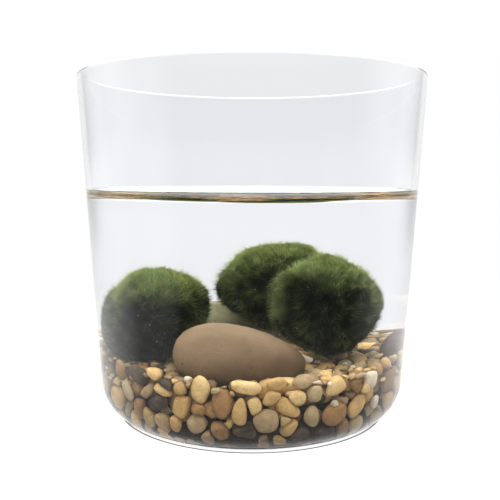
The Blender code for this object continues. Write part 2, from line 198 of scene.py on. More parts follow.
# Gravel, round the balls and the larger stones.
LARGER_STONES = ("large_pebble", "dark_pebble", "slate_stone")
GRAVEL_TOP = 25.2 * MM  # behind, and lower towards the front
GRAVEL_SLOPE = 0.045
HEAP = (8.0 * MM, 20.0 * MM, 11.0 * MM, 3.6 * MM)  # under the back ball: place, width and height
GRAVEL_COUNT = 860
GRAVEL_REACH = 52 * MM
GRAVEL_RADIUS = (1.8 * MM, 4.0 * MM)
GRAVEL_GAP = 0.1 * MM
MOST_SLOPE = 3.0  # of the foot's curve, outward for each step up, that a pebble lies along
SETTLING_ROUNDS = 90
PUSH_SHARE = 0.35  # of an overlap that a round pushes out
LONGEST_PUSH = 1.5 * MM
PRESS = 0.99  # share of its full size that a pebble has before its neighbours press on it
CLIP_POWER = 7  # the higher, the sharper the edge of a flat that is pressed or worn on a pebble
WORN_FLAT = (0.78, 0.98)  # how far out a pebble's worn flats lie, as a share of its reach

# sRGB colours of the stones.
STONE_COLOURS = {
    "cream": ((244, 212, 150), (222, 182, 116)),
    "tan": ((224, 186, 124), (198, 157, 98)),
    "brown": ((182, 140, 92), (146, 110, 70)),
    "greybrown": ((204, 175, 132), (174, 147, 108)),
    "grey": ((200, 178, 134), (170, 150, 108)),
    "slate": ((104, 90, 72), (70, 60, 50)),
    "white": ((250, 236, 206), (232, 212, 178)),
}
STONE_SHARES = {"cream": 6, "tan": 6, "brown": 5, "greybrown": 6, "grey": 4, "slate": 1.6, "white": 0.6}
CHIP_TRIES = 2600
CHIP_RADIUS = (0.9 * MM, 1.9 * MM)
CHIP_SHARES = {"cream": 4, "tan": 2, "brown": 2, "greybrown": 4, "grey": 5, "white": 2}
# How far round a ball or a stone the gravel gets painted shade, with some silt, and how much painted shade
# darkens gravel and larger stones.
PAINTED_SHADE_REACH = {**dict.fromkeys(MOSS_NODES.values(), 8.0 * MM), "large_pebble": 3.5 * MM}
PAINTED_SHADE_TINT = (0.36, 0.36, 0.34, 1.0)
STONE_PAINTED_SHADE = (0.43, 0.4, 0.37, 1.0)
MINERAL_SHARE = 0.3  # of a larger stone's cells that hold a mineral speck
# Painted shade: a dark bowl under the outer pebbles, which stands in for the shade deep in the bed.
SHADE_FILL_TOP = 14.5 * MM
SHADE_FILL_INSET = 6.5 * MM  # from the glass
SHADE_FILL_DEPTH = 1.0 * MM
SHADE_FILL_SHOWN = 2.0 * MM  # above the floor, where it lies against the glass


# ---- nodes and materials


def linear(colour):
    """The linear-light values of an sRGB colour from 0 to 255."""
    values = [value / 255 for value in colour]
    return [v / 12.92 if v <= 0.04045 else ((v + 0.055) / 1.055) ** 2.4 for v in values]


class Tree:
    """A node tree with short calls for the nodes that the finishes need."""

    def __init__(self, owner):
        owner.use_nodes = True
        self.nodes = owner.node_tree.nodes
        self.links = owner.node_tree.links
        self.coordinates = None

    def fill(self, node, inputs):
        """Links or sets inputs of a node, by name or number."""
        for name, value in dict(inputs).items():
            if isinstance(value, bpy.types.NodeSocket):
                self.links.new(value, node.inputs[name])
            else:
                node.inputs[name].default_value = value

    def add(self, kind, inputs=(), **settings):
        made = self.nodes.new("ShaderNode" + kind)
        for name, value in settings.items():
            setattr(made, name, value)
        self.fill(made, inputs)
        return made

    def place(self):
        """Object coordinates, which are the frame's own metres."""
        if self.coordinates is None:
            self.coordinates = self.add("TexCoord").outputs["Object"]
        return self.coordinates

    def noise(self, size, detail=3.0, roughness=0.55, distortion=0.0):
        """Noise with features of about this size in metres, as a value about 0.5."""
        inputs = {"Scale": 1 / size, "Detail": detail, "Roughness": roughness, "Distortion": distortion}
        return self.add("TexNoise", {"Vector": self.place(), **inputs}).outputs["Fac"]

    def dots(self, size, radius, share):
        """Round dots in that share of cells of this size, as 0 or 1, with a radius given in cells."""
        cells = self.add("TexVoronoi", {"Vector": self.place(), "Scale": 1 / size}).outputs
        chosen = self.steps(cells["Color"], 1 - share, 1 - share + 0.01)
        return self.math("MULTIPLY", self.steps(cells["Distance"], radius * 1.3, radius * 0.7), chosen)

    def ramp(self, factor, stops):
        """A colour ramp from (place, linear colour) stops."""
        made = self.add("ValToRGB", {0: factor})
        elements = made.color_ramp.elements
        for element, (place, colour) in zip(elements, (stops[0], stops[-1])):
            element.position = place
            element.color = (*colour, 1.0)
        for place, colour in stops[1:-1]:
            elements.new(place).color = (*colour, 1.0)
        return made.outputs["Color"]

    def steps(self, factor, low, high, least=0.0, most=1.0):
        """A value that runs from least to most as the factor runs from low to high."""
        inputs = {0: factor, 1: low, 2: high, 3: least, 4: most}
        return self.add("MapRange", inputs, interpolation_type="SMOOTHSTEP").outputs[0]

    def mix(self, factor, first, second, blend="MIX"):
        inputs = {0: factor, 6: first, 7: second}
        return self.add("Mix", inputs, data_type="RGBA", blend_type=blend).outputs[2]

    def times(self, first, second):
        """A colour multiplied by another."""
        return self.mix(1.0, first, second, "MULTIPLY")

    def grey(self, value):
        return self.add("CombineColor", {0: value, 1: value, 2: value}).outputs[0]

    def along(self, place, way):
        """How far a place lies along a direction."""
        return self.add("VectorMath", {0: place, 1: way}, operation="DOT_PRODUCT").outputs["Value"]

    def blend(self, share, first, second):
        return self.add("Mix", {0: share, 2: first, 3: second}).outputs[0]

    def math(self, operation, first, second=0.0):
        return self.add("Math", {0: first, 1: second}, operation=operation).outputs[0]

    def attribute(self, name):
        return self.add("Attribute", attribute_name=name).outputs["Fac"]

    def bump(self, height, strength, distance):
        inputs = {"Height": height, "Strength": strength, "Distance": distance}
        return self.add("Bump", inputs).outputs[0]


def material(name):
    """A new material with its tree and its Principled shader."""
    made = bpy.data.materials.new(name)
    tree = Tree(made)
    return made, tree, tree.nodes["Principled BSDF"]


def clear_material(name, index, tint):
    made, tree, shader = material(name)
    tree.fill(shader, {"Base Color": (*tint, 1.0), "IOR": index})
    tree.fill(shader, {"Roughness": 0.0, "Transmission Weight": 1.0})
    return made


def under_water(tree, shader, colour, roughness, normal):
    """Gives a stone's shader its finish, with the low sheen that it has against water."""
    tree.fill(shader, {"Base Color": colour, "Roughness": roughness, "Normal": normal})
    tree.fill(shader, {"Specular IOR Level": UNDER_WATER_SHEEN})


def gravel_material(kind):
    """A river pebble's finish: mottled colour, fine grain and a worn, waxy surface."""
    light, dark = STONE_COLOURS[kind]
    made, tree, shader = material(f"gravel_{kind}")
    mottle = tree.noise(4.2 * MM, 4.0, 0.6, distortion=0.6)
    colour = tree.ramp(mottle, [(0.32, linear(dark)), (0.62, linear(light))])
    grain = tree.noise(0.5 * MM, 2.0, 0.7)
    colour = tree.times(colour, tree.grey(tree.steps(grain, 0.34, 0.42, 0.72, 1.0)))
    # The shade value is each pebble's own tone, and on the front pebbles also painted light.
    colour = tree.times(colour, tree.grey(tree.steps(tree.attribute("shade"), 0.0, 1.0, 0.74, 1.16)))
    # Painted shade, with some silt, round the balls and under the large pebble.
    colour = tree.mix(tree.attribute("painted_shade"), colour, tree.times(colour, PAINTED_SHADE_TINT))
    relief = tree.math("ADD", tree.noise(1.6 * MM, 3.0), tree.math("MULTIPLY", grain, 0.3))
    roughness = tree.steps(mottle, 0.3, 0.7, 0.42, 0.6)
    under_water(tree, shader, colour, roughness, tree.bump(relief, 0.35, 0.25 * MM))
    return made


def stone_material(name, light, dark, speck, mottle_size, roughness, relief_size, painted_shading=None):
    """A larger stone's finish: soft mottling, mineral specks and a fine matte grain.

    The last argument gives a direction, how far along it the stone is fully darkened by painted shade, and
    how far along it the stone has none.
    """
    made, tree, shader = material(name)
    mottle = tree.noise(mottle_size, 5.0, 0.62, distortion=0.4)
    colour = tree.ramp(mottle, [(0.3, linear(dark)), (0.68, linear(light))])
    grain = tree.noise(0.45 * MM, 2.0, 0.75)
    colour = tree.times(colour, tree.grey(tree.steps(grain, 0.35, 0.65, 0.93, 1.04)))
    # Painted shade: the stone is darker towards its low side, where the balls and the gravel shade it.
    if painted_shading:
        way, shaded, unshaded = painted_shading
        along = tree.math("ADD", tree.along(tree.place(), way), tree.math("MULTIPLY", mottle, 4 * MM))
        colour = tree.mix(tree.steps(along, shaded, unshaded), tree.times(colour, STONE_PAINTED_SHADE), colour)
    for size, share in ((5 * MM, MINERAL_SHARE), (2.2 * MM, MINERAL_SHARE / 2)):
        spots = tree.math("MULTIPLY", tree.dots(size, 0.09, share), 0.75)
        colour = tree.mix(spots, colour, (*linear(speck), 1.0))
    relief = tree.math("ADD", tree.noise(relief_size, 3.0), tree.math("MULTIPLY", grain, 0.25))
    mottled = tree.steps(mottle, 0.3, 0.7, roughness - 0.08, roughness + 0.06)
    under_water(tree, shader, colour, mottled, tree.bump(relief, 0.3, 0.3 * MM))
    return made


def moss_material():
    """Felted green threads: dark at the root, lighter and translucent at the tips, olive in patches."""
    made, tree, shader = material("moss")
    tip = tree.attribute("tip")
    # The tone attribute mixes the shaded and the lit colours: painted light on the tops, painted light and
    # shade in patches and hollows.
    colour = tree.mix(tree.attribute("tone"), tree.ramp(tip, PAINTED_SHADED_MOSS), tree.ramp(tip, PAINTED_LIT_MOSS))
    patch = tree.steps(tree.noise(7.0 * MM, 3.0, 0.6), 0.42, 0.66)
    colour = tree.times(colour, tree.mix(patch, WHITE, OLIVE))
    tree.fill(shader, {"Base Color": colour, "Roughness": 0.9, "Specular IOR Level": 0.1})
    through = tree.add("BsdfTranslucent", {"Color": tree.times(colour, THROUGH)})
    both = tree.add("MixShader", {0: TRANSLUCENCE, 1: shader.outputs[0], 2: through.outputs[0]})
    tree.fill(tree.nodes["Material Output"], {"Surface": both.outputs[0]})
    return made


def speck_material():
    """Pale grains of sand and tiny bubbles caught in the moss."""
    made, tree, shader = material("moss_specks")
    colour = tree.ramp(tree.noise(0.6 * MM, 2.0), [(0.3, (0.55, 0.54, 0.48)), (0.7, (0.85, 0.86, 0.84))])
    tree.fill(shader, {"Base Color": colour, "Roughness": 0.25})
    return made


# ---- shared geometry


def outer_radius(z):
    """The jar's outside radius at a height above the foot's curve."""
    share = (z - CORNER_HEIGHT) / (JAR_HEIGHT - CORNER_HEIGHT)
    return CORNER_RADIUS + (RIM_RADIUS - CORNER_RADIUS) * share


def inside_radius(z):
    """The jar's inside radius at a height above its floor, for one value or an array."""
    drop = np.clip((CORNER_HEIGHT - np.asarray(z)) / (CORNER_HEIGHT - FLOOR), 0.0, 1.0)
    curve = CORNER_RADIUS - WALL - INSIDE_CORNER_WIDTH + INSIDE_CORNER_WIDTH * np.sqrt(1 - drop * drop)
    return np.where(drop > 0, curve, outer_radius(z) - WALL)


def corner(width, height, radius, floor):
    """The foot's quarter ellipse, from the flat floor up to the wall."""
    points = []
    for step in range(CORNER_STEPS + 1):
        angle = math.pi / 2 * step / CORNER_STEPS
        points.append((radius - width + width * math.sin(angle), floor + height * (1 - math.cos(angle))))
    return points


def wall(low, high, inset, steps=WALL_STEPS):
    """Points up or down the slanting wall, this far in from its outside, after the first height."""
    heights = [low + (high - low) * step / steps for step in range(1, steps + 1)]
    return [(outer_radius(height) - inset, height) for height in heights]


def inside_corner(inset=0.0):
    """The curve at the foot of the jar's inside, or of a skin that lies this far in from the glass."""
    return corner(INSIDE_CORNER_WIDTH, CORNER_HEIGHT - FLOOR, CORNER_RADIUS - WALL - inset, FLOOR)


def turned(name, profile, inner=0, wave=0.0):
    """A closed solid turned from a profile of (radius, height) points that starts and ends on the axis.

    The first stretches, as many as inner, have the second material, and the rest have the first.
    """
    form = bmesh.new()
    rings = []
    for radius, height in profile:
        if radius < 1e-9:
            rings.append([form.verts.new((0.0, 0.0, height))] * JAR_SEGMENTS)
            continue
        ring = []
        for step in range(JAR_SEGMENTS):
            angle = 2 * math.pi * step / JAR_SEGMENTS
            place = Vector((math.cos(angle), math.sin(angle), 0.0))
            sway = wave * noise.noise(place * 3.0 + Vector((0.0, 0.0, height * 20)))
            ring.append(form.verts.new(place * (radius + sway) + Vector((0.0, 0.0, height))))
        rings.append(ring)
    for stretch, (low, high) in enumerate(zip(rings, rings[1:])):
        for step in range(JAR_SEGMENTS):
            following = (step + 1) % JAR_SEGMENTS
            corners = [low[step], low[following], high[following], high[step]]
            face = form.faces.new(list(dict.fromkeys(corners)))
            face.material_index = int(stretch < inner)
            face.smooth = True
    bmesh.ops.recalc_face_normals(form, faces=form.faces)
    return from_bmesh(name, form)


def placed(name, data):
    """A mesh or camera as an object in the scene."""
    made = bpy.data.objects.new(name, data)
    bpy.context.scene.collection.objects.link(made)
    return made


def from_bmesh(name, form):
    mesh = bpy.data.meshes.new(name)
    form.to_mesh(mesh)
    form.free()
    return placed(name, mesh)


def from_arrays(name, points, faces, attributes, slots=None):
    """A mesh object from arrays of points and triangles, with its material slots and point attributes."""
    mesh = bpy.data.meshes.new(name)
    mesh.vertices.add(len(points))
    mesh.vertices.foreach_set("co", np.asarray(points, np.float32).ravel())
    mesh.loops.add(len(faces) * 3)
    mesh.loops.foreach_set("vertex_index", np.asarray(faces, np.int32).ravel())
    mesh.polygons.add(len(faces))
    mesh.polygons.foreach_set("loop_start", np.arange(0, len(faces) * 3, 3, dtype=np.int32))
    if slots is not None:
        mesh.polygons.foreach_set("material_index", np.asarray(slots, np.int32))
    for attribute, values in attributes.items():
        layer = mesh.attributes.new(attribute, "FLOAT", "POINT")
        layer.data.foreach_set("value", np.asarray(values, np.float32))
    mesh.update(calc_edges=True)
    mesh.validate()
    mesh.shade_smooth()
    return placed(name, mesh)


def icosphere(level):
    """Points and triangles of the unit icosphere."""
    form = bmesh.new()
    bmesh.ops.create_icosphere(form, subdivisions=level, radius=1.0)
    points = np.array([vertex.co for vertex in form.verts])
    faces = np.array([[vertex.index for vertex in face.verts] for face in form.faces])
    form.free()
    return points, faces


def node_tree_of(name):
    """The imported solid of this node, for finding distances to it."""
    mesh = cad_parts[name].data
    mesh.calc_loop_triangles()
    faces = [tuple(triangle.vertices) for triangle in mesh.loop_triangles]
    return BVHTree.FromPolygons([vertex.co.copy() for vertex in mesh.vertices], faces)


def unit(vectors):
    """A vector, or each row of an array of them, at a length of 1."""
    return vectors / np.linalg.norm(vectors, axis=-1, keepdims=True)


def dress(piece, slot, materials, *nodes):
    """Gives a piece its materials and its place in the frame."""
    for made in materials:
        piece.data.materials.append(made)
    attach(piece, "root")
    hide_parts(*nodes)


# ---- jar and water


def jar():
    """The glass: wetted inside below the water's edge, and dry elsewhere."""
    wetted_top = WATER_LEVEL + MENISCUS
    lip = WALL / 2
    lip_height = JAR_HEIGHT - lip
    profile = [(0.0, FLOOR), (CORNER_RADIUS / 3, FLOOR)] + inside_corner()
    profile += wall(CORNER_HEIGHT, wetted_top, WALL)
    wetted = len(profile) - 1
    profile += wall(wetted_top, lip_height, WALL)
    centre = profile[-1][0] + lip
    for step in range(1, LIP_STEPS + 1):
        angle = math.pi * step / LIP_STEPS
        aside = math.copysign(abs(math.cos(angle)) ** LIP_FULLNESS, math.cos(angle))
        profile.append((centre - lip * aside, lip_height + lip * math.sin(angle) ** LIP_FULLNESS))
    profile += wall(lip_height, CORNER_HEIGHT, 0.0, 2 * WALL_STEPS)[:-1]
    profile += corner(CORNER_WIDTH, CORNER_HEIGHT, CORNER_RADIUS, 0.0)[::-1]
    profile += [(CORNER_RADIUS / 3, 0.0), (0.0, 0.0)]
    piece = turned("jar_glass", profile, wetted, GLASS_WAVE)
    tint = (0.965, 0.973, 0.989)
    dry = clear_material("glass", GLASS_INDEX, tint)
    wet = clear_material("glass_against_water", GLASS_INDEX / WATER_INDEX, tint)
    dress(piece, "glass", [dry, wet], "glass_jar")


def meniscus(radius):
    """The water's surface from the wall to the middle, rising as a liquid does on wetted glass."""
    def away(rise):
        share = rise / CAPILLARY_LENGTH
        return CAPILLARY_LENGTH * (math.acosh(2 / share) - math.sqrt(4 - share * share))

    rises = [MENISCUS * (step / MENISCUS_STEPS) ** 1.6 for step in range(MENISCUS_STEPS, 0, -1)]
    points = [(radius - away(rise) + away(MENISCUS), WATER_LEVEL + rise) for rise in rises]
    return points + [(radius / 2, WATER_LEVEL), (0.0, WATER_LEVEL)]


def water():
    """The water, whose skin against the glass bends no light, because the glass's own skin does."""
    profile = [(0.0, FLOOR + WATER_INSET)]
    profile += [(radius, height + WATER_INSET) for radius, height in inside_corner(WATER_INSET)]
    top = meniscus(outer_radius(WATER_LEVEL + MENISCUS) - WALL - WATER_INSET)
    piece = turned("jar_water", profile + top, len(profile))
    surface = clear_material("water", WATER_INDEX, (0.985, 0.995, 1.0))
    side = clear_material("water_against_glass", 1.0, (1.0, 1.0, 1.0))
    dress(piece, "water", [surface, side], "water")


# ---- moss


def spread_directions(count, draw):
    """Directions spread evenly over the sphere, each moved a little."""
    places = np.arange(count) + 0.5
    height = 1 - 2 * places / count
    angle = np.pi * (3 - math.sqrt(5)) * places
    around = np.sqrt(1 - height * height)
    even = np.stack([around * np.cos(angle), around * np.sin(angle), height], 1)
    return unit(even + draw.normal(0.0, 0.8 / math.sqrt(count), (count, 3)))


def reach_along(tree, centre, directions):
    """How far a solid reaches from a point inside it, along each direction."""
    hits = [tree.ray_cast(centre, Vector(direction))[0] for direction in directions]
    return np.array([(hit - centre).length for hit in hits])


def noise_of(points, size, offset):
    """Smooth noise from -1 to 1 at each point, with features of about this size."""
    shift = Vector(offset)
    return np.array([noise.noise(Vector(point) / size + shift) for point in points])


def waves(points, size, seed, count=24):
    """A smooth random field from about -1 to 1 with features of about this size."""
    draw = np.random.default_rng(seed)
    ways = unit(draw.normal(size=(count, 3))) * (2 * np.pi / (size * draw.uniform(1.2, 3.0, (count, 1))))
    phase = draw.uniform(0, 2 * np.pi, count)
    return np.cos(points @ ways.T + phase).sum(1) * math.sqrt(2 / count) * 0.6


def hills(places, points):
    """The sum at each point of listed soft hills: direction from the middle, height, and half width."""
    height = np.zeros(len(points))
    for way, most, width in places:
        toward = unit(np.array(way))
        away = np.linalg.norm(points - toward * (points @ toward).max(), axis=1) / (width * MM)
        height += most * np.exp(-away * away)
    return height


def heart_radius(name, ways, reach, seed):
    """The dense heart's radius along each direction: lumps and dents below the reach of the threads."""
    points = ways * reach[:, None]
    radius = reach - HEART_DEPTH - hills(MOSS_DENTS[name], points) * MM
    for number, (size, depth) in enumerate(LUMPS):
        radius -= depth * np.clip(0.5 + waves(points, size, seed + 20 * number), 0, 1)
    return np.minimum(radius, reach - 0.4 * MM)


def painted_light_along(name, ways, reach, seed):
    """Painted light and shade along each direction: lightest on top, darker in the narrow hollows, with
    listed patches and a little random tone.
    """
    points = ways * reach[:, None]
    # Painted light: the moss is lighter the more its direction points up.
    light = np.interp(ways[:, 2], PAINTED_LIGHT_RISE, (0, 1))
    # Painted shade in the narrow hollows, and painted light on the narrow swellings.
    shaded_creases = [dent for dent in MOSS_DENTS[name] if dent[2] <= CREASE_WIDTH]
    light += hills(MOSS_PAINTED_LIGHT[name], points) - 0.25 * hills(shaded_creases, points)
    return light + 0.12 * waves(points, 8 * MM, seed + 50)


def threads(name, tree, centre, count, seed):
    """Each thread as a slim blade: its three corners, how near the surface each is, and its tone."""
    draw = np.random.default_rng(seed)
    ways = spread_directions(count, draw)
    reach = reach_along(tree, centre, ways)
    root = ways * (heart_radius(name, ways, reach, seed) - 0.3 * MM)[:, None]
    tuft = np.clip(0.5 + waves(root, TUFT_SIZE, seed + 80), 0, 1)
    grow = ways + draw.normal(0.0, THREAD_SPREAD, ways.shape)
    for number, (size, lean) in enumerate(TUFTS):
        for axis in range(3):
            grow[:, axis] += lean * waves(root, size, 100 * seed + 10 * number + axis)
    grow = unit(grow)
    length = draw.uniform(0, 1, count)
    standing = length * (0.5 + 0.5 * tuft)
    length = np.where(draw.uniform(0, 1, count) < LONG_SHARE, standing, FELT_LENGTH * length)
    end = root + grow * np.interp(length, (0, 1), THREAD_LENGTH)[:, None]
    end *= np.minimum(1.0, reach / np.linalg.norm(end, axis=1))[:, None]

    side = unit(np.cross(grow, draw.normal(0.0, 1.0, grow.shape)))
    side *= THREAD_WIDTH * draw.uniform(0.35, 0.65, (count, 1)) * (1.1 - 0.2 * length)[:, None]
    corners = np.stack([root + side, root - side, end], 1).reshape(-1, 3)
    tone = painted_light_along(name, ways, reach, seed)
    light = np.clip(0.2 + 1.1 * tone, 0, 1)
    # Tips are lighter on longer threads and in fuller tufts, above all where the moss has painted light.
    nearness = np.full((count, 3), 0.15)
    near = 0.42 + 0.12 * tuft + (0.28 + 0.3 * light) * length + draw.uniform(-0.15, 0.15, count)
    nearness[:, 2] = np.clip(near, 0, 1)
    tone += 0.1 * (tuft - 0.5) + (0.3 + 0.45 * light) * length + draw.uniform(-0.1, 0.1, count)
    return corners, nearness.ravel(), np.repeat(tone, 3)


def speck_grains(name, tree, centre, seed):
    """Tiny grains that sit among the thread tips."""
    draw = np.random.default_rng(seed)
    ball, faces = icosphere(1)
    ways = unit(draw.normal(size=(SPECKS, 3)))
    reach = reach_along(tree, centre, ways)
    middles = ways * (heart_radius(name, ways, reach, seed) + 0.7 * MM)[:, None]
    sizes = draw.uniform(*SPECK_RADIUS, (SPECKS, 1, 1)) * draw.uniform(0.7, 1.3, (SPECKS, 1, 3))
    points = middles[:, None, :] + ball[None] * sizes
    faces = faces[None] + (np.arange(SPECKS) * len(ball))[:, None, None]
    return points.reshape(-1, 3), faces.reshape(-1, 3)


def moss_ball(name, node_name, seed, finishes):
    """A heart with its threads, which reach as far as the node's solid, and the grains caught in it."""
    low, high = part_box(node_name)
    centre = (low + high) / 2
    tree = node_tree_of(node_name)
    ball, faces = icosphere(HEART_LEVEL)
    ball_reach = reach_along(tree, centre, ball)
    heart = ball * heart_radius(name, ball, ball_reach, seed)[:, None]
    count = THREADS
    corners, nearness, tone = threads(name, tree, centre, count, seed)
    grains, grain_faces = speck_grains(name, tree, centre, seed)
    points = np.concatenate([heart, corners, grains]) + np.array(centre)
    blades = np.arange(3 * count).reshape(-1, 3) + len(heart)
    everything = np.concatenate([faces, blades, grain_faces + len(heart) + 3 * count])
    slots = np.repeat([0, 1], [len(faces) + count, len(grain_faces)])
    tip = np.concatenate([np.full(len(heart), 0.2), nearness, np.ones(len(grains))])
    tones = np.concatenate([painted_light_along(name, ball, ball_reach, seed), tone, np.ones(len(grains))])
    piece = from_arrays(name, points, everything, {"tip": tip, "tone": tones}, slots)
    dress(piece, "moss", finishes, node_name)


# ---- stones


def fine_stone(name, node_name, slot, finish, levels, relief, relief_size, seed):
    """A packed stone's solid with its facets rounded off and a low natural relief."""
    form = bmesh.new()
    form.from_mesh(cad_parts[node_name].data)
    bmesh.ops.remove_doubles(form, verts=form.verts, dist=0.01 * MM)
    piece = from_bmesh(name, form)
    rounding = piece.modifiers.new("rounding", "SUBSURF")
    rounding.levels = rounding.render_levels = levels
    graph = bpy.context.evaluated_depsgraph_get()
    mesh = bpy.data.meshes.new_from_object(piece.evaluated_get(graph))
    piece.modifiers.clear()
    piece.data = mesh
    for vertex in mesh.vertices:
        sway = noise.noise(vertex.co / relief_size + Vector((seed, 0.0, 0.0)))
        sway += 0.4 * noise.noise(vertex.co / relief_size * 2.7 + Vector((0.0, seed, 0.0)))
        vertex.co += vertex.normal * (sway - 0.5) * relief
    mesh.shade_smooth()
    dress(piece, slot, [finish], node_name)


# ---- gravel


# Axes and half sizes are along length, thickness and width. A fullness of 2 is an ellipsoid, and more is
# squarer. A firm pebble keeps its shape against its neighbours. A form is a fullness and a taper.
Pebble = namedtuple("Pebble", "centre axes half fullness taper kind firm shade")
FORMS = {"round": (2.3, 0.0), "bar": (3.0, 0.0), "chip": (4.0, 0.0), "drop": (2.0, 0.3)}

# Place in millimetres, length, width, thickness, turn, form and colour.
TOP_PEBBLES = [((15.3, -21.0, 26.3), 6.0, 3.6, 3.2, -28, "chip", "white")]

# Degrees round the wall from the front, height, length, width, thickness, turn, form and colour.
GLASS_PEBBLES = [
    (-30.4, 21.6, 7.6, 3.6, 3.6, -20, "round", "slate"),
    (16.4, 7.4, 9.0, 5.2, 4.0, -6, "round", "slate"),
    (29.2, 15.4, 3.0, 2.8, 2.6, 0, "round", "white"),
    (49.0, 12.4, 4.6, 3.2, 3.0, 80, "chip", "white"),
    (10.2, 5.8, 6.0, 3.6, 3.6, 5, "round", "tan"),
    (38.4, 20.4, 6.4, 4.2, 3.8, -60, "round", "brown"),
    (-38.4, 18.2, 7.4, 5.0, 4.0, 30, "round", "greybrown"),
    (-24.6, 20.6, 6.0, 4.4, 4.0, -50, "round", "tan"),
]

# Length, width, thickness, turn from level, form and colour of pebble_01 onwards.
FRONT_PEBBLES = [
    (11.0, 6.2, 4.8, -14, "round", "slate"),
    (7.2, 5.2, 4.6, 80, "round", "brown"),
    (6.4, 3.4, 4.2, -18, "bar", "cream"),
    (8.4, 6.0, 4.8, 30, "round", "slate"),
    (8.0, 3.2, 4.0, -24, "bar", "cream"),
    (6.0, 4.2, 4.0, 75, "round", "tan"),
    (8.6, 5.2, 4.4, 82, "chip", "tan"),
    (11.6, 7.0, 4.8, 112, "round", "cream"),
    (4.9, 4.7, 4.0, 0, "round", "brown"),
    (7.4, 6.6, 4.8, 30, "round", "greybrown"),
    (7.4, 6.8, 4.6, 100, "round", "brown"),
    (14.4, 8.2, 4.8, 99, "drop", "brown"),
    (12.4, 4.2, 4.2, -5, "bar", "cream"),
    (11.0, 4.8, 4.0, 88, "bar", "tan"),
    (7.0, 5.6, 4.0, 95, "round", "cream"),
    (9.6, 6.0, 4.2, -10, "round", "slate"),
    (10.4, 9.0, 4.8, 0, "round", "greybrown"),
    (7.8, 5.0, 4.0, 24, "round", "tan"),
    (8.4, 4.2, 4.2, 8, "round", "tan"),
    (11.4, 6.2, 4.6, -34, "round", "tan"),
    (6.8, 5.2, 4.0, 20, "round", "tan"),
    (6.0, 5.4, 4.0, 20, "round", "cream"),
    (7.2, 4.8, 4.2, 10, "round", "greybrown"),
    (7.2, 5.6, 4.0, 80, "round", "grey"),
    (8.0, 5.4, 4.0, 95, "drop", "grey"),
    (8.8, 6.8, 4.6, 22, "round", "cream"),
    (10.0, 8.6, 4.8, 10, "round", "brown"),
    (10.4, 6.0, 4.6, 38, "round", "tan"),
    (6.8, 6.0, 4.4, 85, "chip", "white"),
]


def column(pebbles, field):
    """One field of every pebble, as an array."""
    return np.array([getattr(pebble, field) for pebble in pebbles])


def wall_axes(centre):
    """Length along the wall, thickness across it and width up it, for a pebble at the glass."""
    outward = unit(np.array([centre[0], centre[1], 0.0]))
    step = 0.2 * MM
    slope = float(inside_radius(centre[2] + step) - inside_radius(centre[2] - step)) / (2 * step)
    up = unit(outward * min(slope, MOST_SLOPE) + (0.0, 0.0, 1.0))
    normal = unit(outward - up * (outward @ up))
    return np.cross(up, normal), -normal, up


def turned_axes(axes, turn):
    """Axes turned in the wall's plane, counterclockwise as seen from outside."""
    aside, inward, up = axes
    cosine, sine = math.cos(turn), math.sin(turn)
    return np.array([aside * cosine + up * sine, inward, up * cosine - aside * sine])


def by_hand(centre, axes, row, firm, shade):
    """A pebble from its length, width, thickness, turn, form and colour in millimetres and degrees."""
    length, width, thick, turn, form, kind = row
    half = np.array([length, thick, width]) / 2 * MM
    return Pebble(centre, turned_axes(axes, math.radians(turn)), half, *FORMS[form], kind, firm, shade)


def front_pebbles():
    """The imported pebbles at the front, each with its full size."""
    for number, row in enumerate(FRONT_PEBBLES, 1):
        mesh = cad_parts[f"pebble_{number:02d}"].data
        points = np.array([vertex.co for vertex in mesh.vertices])
        centre = (points.max(0) + points.min(0)) / 2
        firm = 9.0 if row[4] in ("bar", "drop") else 4.0
        # Painted light: the front pebbles get a high shade value, which lifts their colour in place of light
        # from the front.
        yield by_hand(centre, wall_axes(centre), row, firm, 0.95)


def glass_pebbles():
    """More pebbles at the front glass, too small to be packed each on its own."""
    for degrees, height, *row in GLASS_PEBBLES:
        angle = math.radians(degrees)
        reach = float(inside_radius(height * MM)) - (row[2] / 2 + 0.3) * MM
        centre = np.array([reach * math.sin(angle), -reach * math.cos(angle), height * MM])
        yield by_hand(centre, wall_axes(centre), row, 1.5, 0.5)


def top_pebbles():
    """Pebbles on the bed's top that face the front."""
    for centre, *row in TOP_PEBBLES:
        yield by_hand(np.array(centre) * MM, np.eye(3), row, 4.0, 0.9)


def from_wall(point):
    """How far inside the glass a point lies, measured level."""
    return float(inside_radius(point[2])) - math.hypot(point[0], point[1])


def keep_inside(points, gap):
    """Moves in the points that lie closer to the glass than this gap."""
    around = np.maximum(np.hypot(points[:, 0], points[:, 1]), 1e-6)
    points[:, :2] *= np.minimum(1.0, (inside_radius(points[:, 2]) - gap) / around)[:, None]


def bed_top(x, y):
    """The height of the gravel's top, a number or an array."""
    heap_x, heap_y, width, height = HEAP
    away = ((x - heap_x) ** 2 + (y - heap_y) ** 2) / width**2
    return GRAVEL_TOP + GRAVEL_SLOPE * np.minimum(0.0, y) + height * np.exp(-away)


def signed_gap(tree, point):
    """The way out of a solid at a point, and how far outside it the point lies, below 0 inside."""
    near, normal, _, away = tree.find_nearest(point)
    return normal, -away if (point - near).dot(normal) < 0 else away


